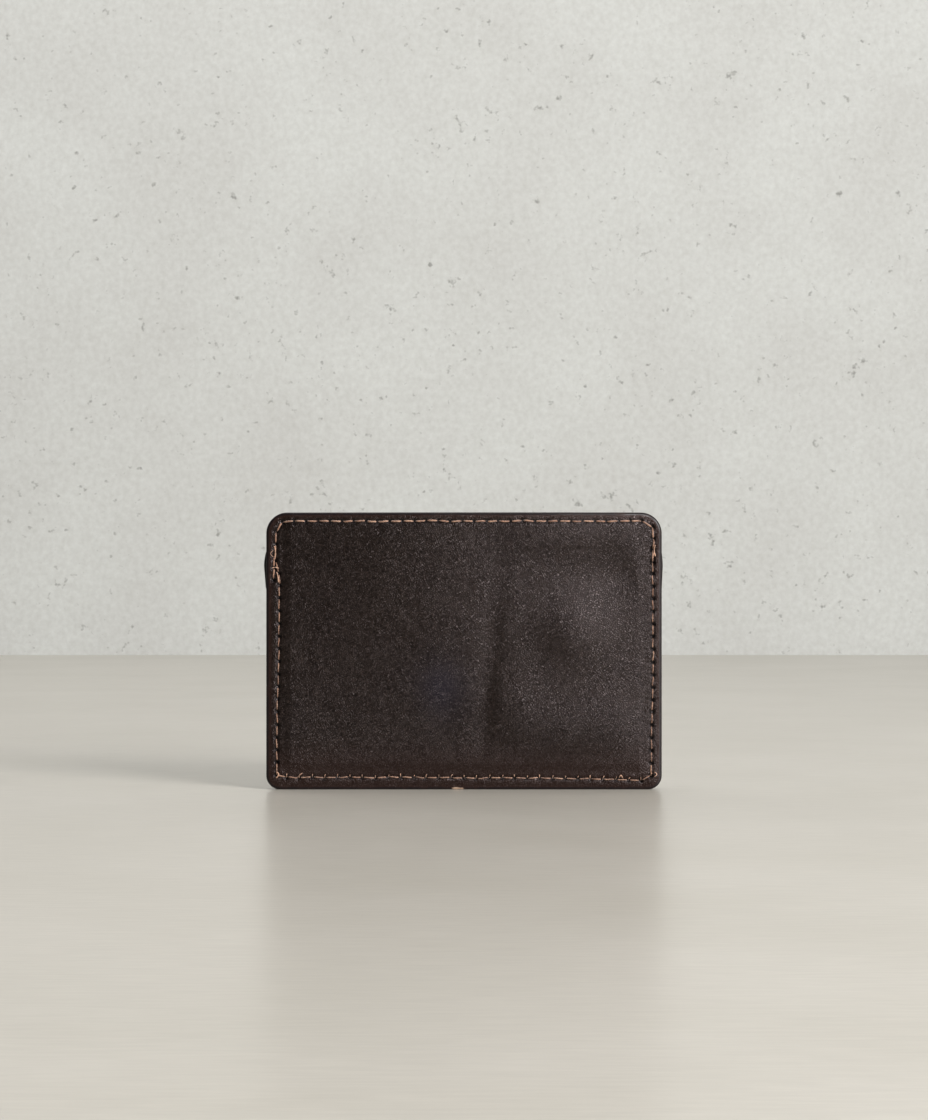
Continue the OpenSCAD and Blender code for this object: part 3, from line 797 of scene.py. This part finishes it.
def lower_face(x, z):
    """Y of the finished face of the lower pocket's leather."""
    distance = edge_distance(x, z, LOWER_MOUTH, LOWER_RADIUS)
    pressed = lower_hem.relief(x, z, *PRESSED) + side_seam.relief(x, z, *PRESSED)
    relief = plump(distance) + card_print(x, z, 6) - pressed - roll_over(distance, POCKET_ROLL)
    return back_wall(x, z, lower_in(x, z) + SLIP + GLUE + POCKET_LEATHER + relief)


x, z = rounded_grid(COAT, LOWER_MOUTH - COAT, BASE_RADIUS - COAT, LOWER_RADIUS - COAT, 0.18, 0.7)
leather_panel(
    "lower_pocket_leather",
    flared(x, z),
    z,
    back_wall(x, z, lower_in(x, z) + SLIP + GLUE),
    lower_face(x, z),
    edge_distance(x, z, LOWER_MOUTH, LOWER_RADIUS),
    [lower_hem, side_seam],
    pocket_leather,
    "pocket_leather",
    "lower_pocket_panel",
)
x, z = rounded_grid(COAT, LOWER_MOUTH - COAT, BASE_RADIUS - COAT, LOWER_RADIUS - COAT, 0.3, 0.7)
slip = pocket_cloth("lower_pocket_cloth", x, z, lower_in(x, z))
sewn_in(slip, slip_cloth, "slip_cloth", "lower_pocket_lining")


# ---- Painted edges -----------------------------------------------------------------------------
# Purple-brown acrylic edge paint, laid on in coats and sanded between them, rounds off every cut
# edge and laps a hair over the leather's face. The sides and the bottom are painted after sewing.

LAP = 0.03  # paint thickness where it laps over the leather


def painted(name):
    """Satin edge paint: even in colour, softly glossy, faintly orange-peeled, and rubbed through to
    a redder undercoat in a few spots."""
    material, tree, shader = new_material(name, IOR=1.48, Specular_IOR_Level=0.3)
    place = object_place(tree)
    rubbed = ramp(tree, noise(tree, place, 2.2, 5.0, 0.65), 0.52, 0.75)
    # A small pale dash on the front of the bottom edge.
    pale_dashed = stored(tree, "pale_dash")
    coat = mixed(tree, rubbed, linear("#160d0f"), linear("#2a1a17"))
    tree.links.new(mixed(tree, pale_dashed, coat, linear("#b59a86")), shader.inputs["Base Color"])
    shine = ramp(tree, noise(tree, place, 1.2, 3.0), 0.3, 0.7, 0.3, 0.46)
    tree.links.new(shine, shader.inputs["Roughness"])
    bump(tree, shader, noise(tree, place, 0.7, 3.0), 0.05, 0.5)
    return material


def swept(rings):
    """Points and faces of closed rings carried along a path, with flat ends, turned to face out: the
    sum of the cone volumes over its quads tells which way they face."""
    count, sides, _ = rings.shape
    points = rings.reshape(-1, 3)
    s, k = np.meshgrid(np.arange(count - 1) * sides, np.arange(sides), indexing="ij")
    after = (k + 1) % sides
    quads = np.stack([s + k, s + after, s + after + sides, s + k + sides], -1).reshape(-1, 4)
    caps = np.stack([np.arange(sides)[::-1], np.arange(sides) + (count - 1) * sides])
    a, b, c, d = (points[quads[:, i]] - points.mean(axis=0) for i in range(4))
    if np.sum(np.cross(c - a, d - b) * (a + b + c + d)) < 0:
        quads, caps = quads[:, ::-1], caps[:, ::-1]
    return points, quads, caps


def coat_rings(path, profile):
    """Rings of an edge coat. path is its outline, and profile a list of (how far in from the outline,
    the layer's surface, how far behind that surface), where to measure each point from."""
    path = along(path, 0.4)
    tangent = np.gradient(path, axis=0)
    normal = np.stack([-tangent[:, 1], tangent[:, 0]], 1) / np.linalg.norm(tangent, axis=1)[:, None]
    normal *= np.sign(np.sum(normal * ([0, TOP / 2] - path), axis=1))[:, None]
    ring = []
    for inset, surface, behind in profile:
        x, z = (path + normal * inset).T
        ring.append(np.stack([x, surface(x, z) + behind, z], 1))
    return np.stack(ring, 1)


def lap(surface, out, roll):
    """Profile from a face round to the edge: along the face's own rounded edge, and paint over it."""
    angles = np.radians(np.linspace(90, 0, 8))
    return [(roll[1] * (1 - math.cos(a)), surface, out * LAP * math.cos(a)) for a in angles]


def inner_roll(surface, out, radius, depth=0.0):
    """Profile from the edge round to an inner face: a quarter circle that ends on the face."""
    angles = np.radians(np.linspace(0, 90, 5))
    return [(radius * (1 - math.cos(a)), surface, out * (depth - radius * (1 - math.sin(a)))) for a in angles]


def coat_shell(path, face, flesh, out, roll=ROLL):
    """A coat round one wall's edge: over the face, round the edge, and just over the inner face. The
    part that nobody sees is sunk a few hundredths of a millimetre into the leather's cut edge."""
    hidden = [(0.42, flesh, out * 0.03), (COAT + 0.02, flesh, out * 0.05)]
    hidden += [(COAT + 0.02, face, -out * 0.06), (roll[1] + 0.02, face, -out * 0.04)]
    return coat_rings(path, lap(face, out, roll) + inner_roll(flesh, -out, 0.28, 0.02) + hidden)


def shell(name, rings, flare=False):
    """One closed coat as a piece, flared where it belongs to a pocket."""
    points, quads, caps = swept(rings)
    if flare:
        points[:, 0] = flared(points[:, 0], points[:, 2])
    return build(name, points, [quads, caps])


def outline(low, high, low_radius, high_radius, base):
    """The wallet's outline from the left end of its straight side: over the mouth, or round the base."""
    if base:
        ends = np.array([[HALF, high]])
        left = arc((low_radius - HALF, low + low_radius), low_radius, 180, 270, 12)
        right = arc((HALF - low_radius, low + low_radius), low_radius, 270, 360, 12)
        return np.concatenate([ends * [-1, 1], left, right, ends])
    ends = np.array([[HALF, low]])
    left = arc((high_radius - HALF, high - high_radius), high_radius, 180, 90, 16)
    right = arc((HALF - high_radius, high - high_radius), high_radius, 90, 0, 16)
    return np.concatenate([ends * [-1, 1], left, right, ends])


def front_flesh(x, z):
    return front_wall(x, z, GLUE / 2)


def back_flesh(x, z):
    return back_wall(x, z, GLUE / 2)


def back_junction(x, z):
    return back_wall(x, z, back_leather_in(x, z) + BACK_LEATHER)


def upper_flesh(x, z):
    return back_wall(x, z, upper_in(x, z))


def lower_flesh(x, z):
    return back_wall(x, z, lower_in(x, z))


edge_paint = painted("satin_edge_paint")
SIDE_TOP = TOP - MOUTH_RADIUS - 0.02
mouth_path = outline(SIDE_TOP, TOP, 0, MOUTH_RADIUS, False)
base_path = outline(0, SIDE_TOP, BASE_RADIUS, 0, True)


def edge_coat(name, node, path, face, flesh, out=1, pocket=True):
    """The coat on the cut edge of one wall or pocket, set on the wallet."""
    rings = coat_shell(path, face, flesh, out, POCKET_ROLL if pocket else ROLL)
    return sewn_in(shell(name, rings, pocket), edge_paint, "edge_coat", node)


WALLS = (
    ("front_mouth_edge_coat", "front_mouth_edge_paint", front_face, front_flesh, -1),
    ("back_mouth_edge_coat", "back_mouth_edge_paint", back_face, back_flesh, 1),
)
for name, node, face, flesh, out in WALLS:
    edge_coat(name, node, mouth_path, face, flesh, out, pocket=False)
upper_path = outline(LOWER_MOUTH + SHOULDER, UPPER_MOUTH, 0, EAR_RADIUS, False)
edge_coat("upper_slot_edge_coat", "upper_pocket_edge_paint", upper_path, upper_face, upper_flesh)
lower_path = outline(LOWER_MOUTH - 1.5, LOWER_MOUTH, 0, LOWER_RADIUS, False)
edge_coat("lower_slot_edge_coat", "lower_pocket_edge_paint", lower_path, lower_face, lower_flesh)

wall_profile = lap(front_face, -1, ROLL)
wall_profile += [(0.14 * math.exp(-((y / 0.12) ** 2)), front_flesh, y) for y in (-0.35, -0.12, 0, 0.12, 0.35)]
wall_profile += inner_roll(back_junction, 1, 0.2)
wall_profile += [(COAT + 0.02, back_junction, -0.05)]
wall_profile += [(COAT + 0.02, front_face, 0.06), (0.72, front_face, 0.04)]
pocket_base = outline(0, LOWER_MOUTH - 1.48, BASE_RADIUS, 0, True)
wall_coat = shell("wall_edge_coat_inner", coat_rings(base_path, wall_profile))
sewn_in(wall_coat, edge_paint, "edge_coat", "left_edge_paint", "base_edge_paint")
pocket_coat = edge_coat(
    "wall_edge_coat_pocket", "right_edge_paint", pocket_base, lower_face, lower_flesh
)
for coat in (wall_coat, pocket_coat):
    place = np.zeros(3 * len(coat.data.vertices), np.float32)
    coat.data.vertices.foreach_get("co", place)
    x, y, z = place.reshape(-1, 3).T / MM
    # The pale dash lies low on the bottom edge's front, a little left of the middle.
    pale_dash = hill(x, z, (-2.0, 0.3), (1.1, 0.35)) + 0.7 * hill(x, z, (-0.4, 0.25), (0.5, 0.25))
    set_attribute(coat, "pale_dash", ease(3 * pale_dash - 1) * (y < -1.2))


# ---- Stitches ----------------------------------------------------------------------------------
# Bonded tan thread of three twisted strands, half a millimetre thick and worn thinner on the side
# seam. Each stitch lies on the leather from one needle hole to the next, and dives into both. Only
# the side seam shows on both faces.

THREAD = 0.24  # radius at the crest of a strand
LAY = 2.0  # length over which the strands go once round


def thread_material(name, soil_and_groove_shade, body, bright):
    """Twisted bonded thread: satin filaments that catch the light, painted shade between the strands,
    each stitch a little lighter or darker than the next, and soiled in places."""
    material, tree, shader = new_material(name, Roughness=0.5, Sheen_Weight=0.35)
    place = object_place(tree)
    tone = stored(tree, "tone")
    crest = stored(tree, "crest")
    body_tone = mixed(tree, tone, linear(body), linear(bright))
    soiled = mixed(tree, ramp(tree, noise(tree, place, 1.5, 4.0, 0.6), 0.45, 0.7), body_tone, linear(soil_and_groove_shade))
    # Painted shade: the grooves between the strands take the darkest colour, which also serves as soil.
    tree.links.new(mixed(tree, crest, linear(soil_and_groove_shade), soiled), shader.inputs["Base Color"])
    bump(tree, shader, noise(tree, place, 0.12, 3.0, 0.6), 0.03, 0.6)
    return material


def threads(name, centres, radius, tone, sides=9):
    """Closed tubes along many paths at once, each a row of centres. A ring's points turn once in every
    lay, and two in three lie nearer the middle, so that three strands wind round each other."""
    count, steps, _ = centres.shape
    ahead = np.gradient(centres, axis=1)
    ahead /= np.linalg.norm(ahead, axis=2, keepdims=True)
    side = np.cross(ahead, (0.0, -1.0, 0.02))
    side /= np.linalg.norm(side, axis=2, keepdims=True)
    up = np.cross(side, ahead)
    run = np.linalg.norm(np.diff(centres, axis=1, prepend=centres[:, :1]), axis=2).cumsum(axis=1)
    strand = np.where(np.arange(sides) % 3 == 0, 1.0, 0.8) if sides % 3 == 0 else np.ones(sides)
    angle = 2 * np.pi * (np.arange(sides) / sides + run[..., None] / LAY)
    reach = np.broadcast_to(radius, (count, steps))[..., None] * strand
    rings = centres[:, :, None] + reach[..., None] * (
        np.cos(angle)[..., None] * side[:, :, None] + np.sin(angle)[..., None] * up[:, :, None]
    )
    n, s, k = np.meshgrid(np.arange(count), np.arange(steps - 1), np.arange(sides), indexing="ij")
    here, after = (n * steps + s) * sides, (k + 1) % sides
    quads = np.stack([here + k, here + sides + k, here + sides + after, here + after], -1).reshape(-1, 4)
    first = np.arange(count)[:, None] * steps * sides + np.arange(sides)
    last = (first + (steps - 1) * sides)[:, ::-1]
    piece = build(name, rings.reshape(-1, 3), [quads, np.concatenate([first, last])], 80)
    set_attribute(piece, "tone", np.repeat(tone, steps * sides))
    # crest is 1 on the strands' crests and lower in the grooves, where painted shade goes.
    set_attribute(piece, "crest", np.tile(np.where(strand == 1, 1.0, 0.35), count * steps))
    return piece


def stitch_paths(holes, face, out, seed, lift=0.17, slack=0.05):
    """Centres of the stitches between neighbouring holes. Over t from 0 to 1 a stitch goes nearly
    straight from hole to hole, stands lift over the face, and dives into both holes as |2t - 1|^3.4."""
    chance = np.random.default_rng(seed)
    t = np.linspace(0.04, 0.96, 14)
    p, q = holes[:-1, None], holes[1:, None]
    across = (q - p)[..., ::-1] * [-1, 1] / np.linalg.norm(q - p, axis=2, keepdims=True)
    wave = chance.normal(0, slack, (len(p), 2, 1))
    sway = wave[:, 0] * np.sin(np.pi * t) + wave[:, 1] * np.sin(2 * np.pi * t)
    place = p + (q - p) * t[:, None] + across * sway[..., None]
    x, z = place[..., 0], place[..., 1]
    height = lift + chance.normal(0, 0.02, (len(p), 1)) - (lift + 0.75) * np.abs(2 * t - 1) ** 3.4
    return np.stack([x, face(x, z) + out * height, z], -1)


def row(name, node, holes, face, out, seed, radius=THREAD, frayed=0.1, dark=False):
    """A whole row of stitches as one piece, thinner and thicker along the thread where frayed. The
    row that closes the upper slot's base is the only dark one."""
    paths = stitch_paths(holes, face, out, seed)
    radius = radius * (1 + np.random.default_rng(seed + 90).uniform(-frayed, frayed, paths.shape[:2]))
    tone = np.clip(np.random.default_rng(seed + 50).normal(0.45, 0.25, len(paths)), 0, 1)
    material, slot = (dark_thread, "hidden_thread") if dark else (tan_thread, "seam_thread")
    return sewn_in(threads(name, paths, radius, tone), material, slot, node)


tan_thread = thread_material("bonded_tan_thread", "#5d3f30", "#b08267", "#e2b699")
dark_thread = thread_material("bonded_dark_thread", "#1c1613", "#453a33", "#5c4e44")

row("mouth_seam_needle_stitches", "mouth_seam_needle_thread", mouth_seam.holes, front_face, -1, 11)
row(
    "side_seam_needle_stitches", "side_seam_needle_thread",
    side_seam.holes, front_face, -1, 12, radius=0.16, frayed=0.3,
)
row(
    "back_mouth_seam_needle_stitches", "back_mouth_seam_needle_thread",
    back_mouth_seam.holes, back_face, 1, 13,
)


def back_side_face(x, z):
    """The face that the side seam lies on at the back: the lower pocket's, or the upper one's ears."""
    return np.where(z > LOWER_MOUTH, upper_face(x, z), lower_face(x, z))


row(
    "side_seam_bobbin_stitches", "side_seam_bobbin_thread",
    side_seam.holes, back_side_face, 1, 14, radius=0.22,
)
row("upper_hem_needle_stitches", "upper_slot_hem_needle_thread", upper_hem.holes, upper_face, 1, 15)
row("lower_hem_needle_stitches", "lower_slot_hem_needle_thread", lower_hem.holes, lower_face, 1, 16)


def loose_ends(name, curves, face, out, material, slot, node):
    """Cut ends, loops and tufts of thread over a face. Each is a quadratic curve through the pull of
    its middle place, given by three places and a radius, and stands up to 0.4 mm off."""
    t = np.linspace(0, 1, 9)[:, None]
    paths = []
    for start, middle, end, _ in curves:
        way = (1 - t) ** 2 * np.array(start) + 2 * t * (1 - t) * np.array(middle) + t**2 * np.array(end)
        height = 0.05 + 0.35 * np.sin(np.pi * (0.1 + 0.8 * t[:, 0]))
        paths.append(np.stack([way[:, 0], face(way[:, 0], way[:, 1]) + out * height, way[:, 1]], -1))
    radius = np.array([curve[3] for curve in curves])[:, None]
    tone = np.random.default_rng(31).uniform(0.4, 1.0, len(curves))
    return sewn_in(threads(name, np.array(paths), radius, tone, sides=5), material, slot, node)


loops = [
    ((-47.9, 61.4), (-47.4, 60.1), (-47.8, 58.7), 0.18),
    ((-48.2, 60.4), (-49.5, 59.6), (-48.2, 58.8), 0.08),
    ((-48.5, 56.0), (-47.6, 56.3), (-46.8, 55.9), 0.15),
    ((-47.3, 54.9), (-46.8, 53.6), (-46.9, 52.4), 0.15),
    ((48.3, 61.8), (47.8, 60.5), (48.3, 59.0), 0.18),
    ((-42.0, 3.2), (-41.5, 3.8), (-40.8, 4.2), 0.12),
    ((-47.4, 3.0), (-46.3, 3.9), (-47.3, 4.4), 0.2),
    ((39.2, 3.0), (39.6, 4.3), (40.0, 3.0), 0.15),
    ((48.1, 3.3), (49.2, 3.9), (48.2, 4.4), 0.1),
]
chance = np.random.default_rng(30)
for hx, hz in side_seam.holes[side_seam.holes[:, 1] < 4]:
    tip = hx + chance.normal(0.1, 0.12), hz + chance.uniform(0.5, 0.95)
    loops.append(((hx, hz), (hx + chance.normal(0, 0.1), hz + 0.5), tip, chance.uniform(0.07, 0.12)))
loose_ends("side_seam_loops", loops, front_face, -1, tan_thread, "seam_thread", "side_seam_needle_thread")


def on_the_opening(holes, reach=36.0):
    """The holes of the straight run within reach of the middle."""
    return holes[(np.abs(holes[:, 0]) < reach) & (holes[:, 1] > LOWER_MOUTH - 4)]


row(
    "mouth_seam_bobbin_stitches", "mouth_seam_bobbin_thread",
    on_the_opening(mouth_seam.holes), front_flesh, 1, 17, radius=0.2,
)
row(
    "back_mouth_seam_bobbin_stitches", "back_mouth_seam_bobbin_thread",
    on_the_opening(back_mouth_seam.holes), back_flesh, -1, 18, radius=0.2,
)
row(
    "upper_hem_bobbin_stitches", "upper_slot_hem_bobbin_thread",
    on_the_opening(upper_hem.holes), upper_flesh, -1, 19, radius=0.2,
)
row(
    "lower_hem_bobbin_stitches", "lower_slot_hem_bobbin_thread",
    on_the_opening(lower_hem.holes), lower_flesh, -1, 20, radius=0.2,
)


def slip_face(x, z):
    return back_wall(x, z, upper_in(x, z) + SLIP)


base_holes = along(np.array([[3 - BODY_HALF, UPPER_FLOOR - 0.5], [BODY_HALF - 3, UPPER_FLOOR - 0.5]]), 3.2)
row(
    "upper_pocket_base_stitches", "upper_pocket_base_thread",
    base_holes, slip_face, 1, 21, radius=0.2, dark=True,
)
